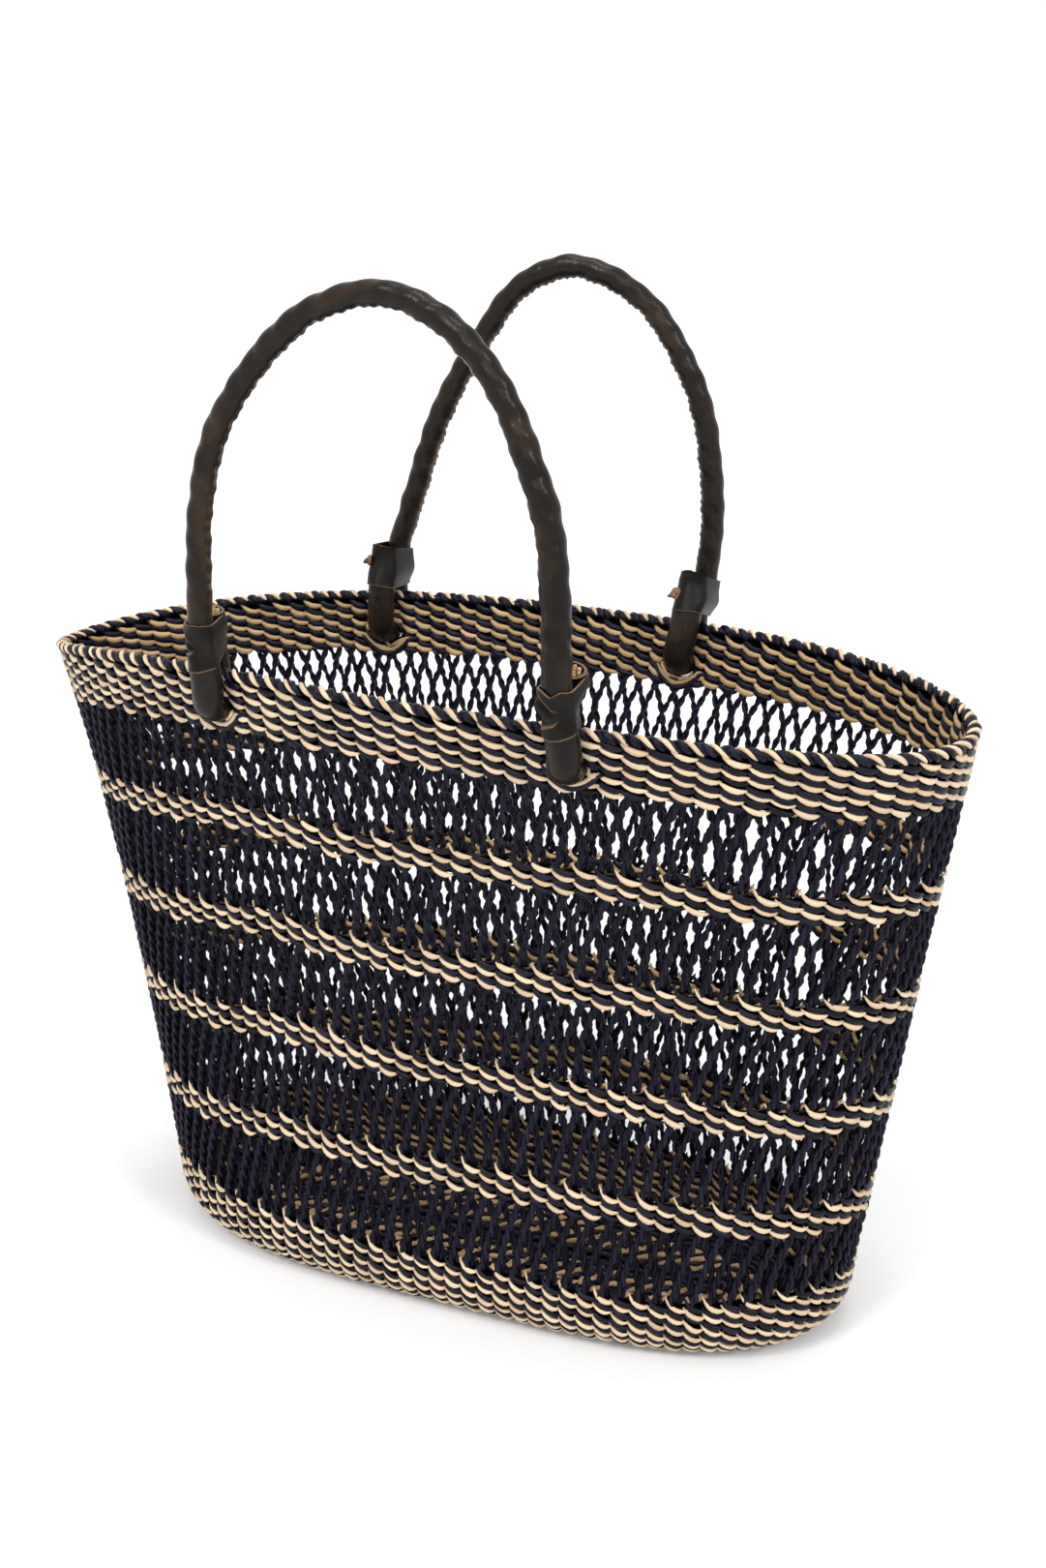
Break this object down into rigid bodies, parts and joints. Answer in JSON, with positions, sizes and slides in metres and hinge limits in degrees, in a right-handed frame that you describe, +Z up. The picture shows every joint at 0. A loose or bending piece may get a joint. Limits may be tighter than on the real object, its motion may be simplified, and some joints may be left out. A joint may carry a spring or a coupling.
{
  "type": "woven tote bag",
  "caption": "Oval woven grass tote with lace bands, natural stripes, a folded rim and stiff leather-wrapped arch handles that tilt on their threaded feet.",
  "frame": {"origin": "middle of the base's underside, on the surface that the bag stands on", "axes": "+Z up, X along the bag's length with the sharper mouth tip towards -X, front wall towards -Y"},
  "size_m": [0.4839, 0.2412, 0.5098],
  "materials": {
    "grass_dark": "navy-black dyed dried grass, twisted two-ply, slight sheen",
    "grass_natural": "undyed straw-coloured grass woven with navy-black grass, slight sheen",
    "handle_leather": "semi-gloss black-brown leather, spiral wrapped and seamed",
    "stalks": "bundle of dry grass stalks, cut ends bare",
    "keeper_leather": "matte black-brown leather strip with tan cut edges"
  },
  "bodies": {
    "basket": {"base_mat": "grass_dark", "bottom_band": "grass_natural", "lace_band_1": "grass_dark", "stripe_band_1": "grass_natural", "lace_band_2": "grass_dark", "stripe_band_2": "grass_natural", "lace_band_3": "grass_dark", "stripe_band_3": "grass_natural", "lace_band_4": "grass_dark", "stripe_band_4": "grass_natural", "lace_band_5": "grass_dark", "rim_band": "grass_natural", "rim_border": "grass_natural"},
    "front_handle": {"front_handle_wrap": "handle_leather", "front_handle_core": "stalks", "front_keeper_left": "keeper_leather", "front_keeper_right": "keeper_leather"},
    "back_handle": {"back_handle_wrap": "handle_leather", "back_handle_core": "stalks", "back_keeper_left": "keeper_leather", "back_keeper_right": "keeper_leather"}
  },
  "joints": [
    {"name": "front_handle_tilt", "type": "hinge", "parent": "basket", "child": "front_handle", "pos_m": [-0.02617, -0.08912, 0.31449], "axis": [0.9978, -0.0663, 0.0058], "range_deg": [-13, 17]},
    {"name": "back_handle_tilt", "type": "hinge", "parent": "basket", "child": "back_handle", "pos_m": [-0.02914, 0.09035, 0.31473], "axis": [0.9975, 0.0699, 0.0055], "range_deg": [-17, 13]}
  ]
}
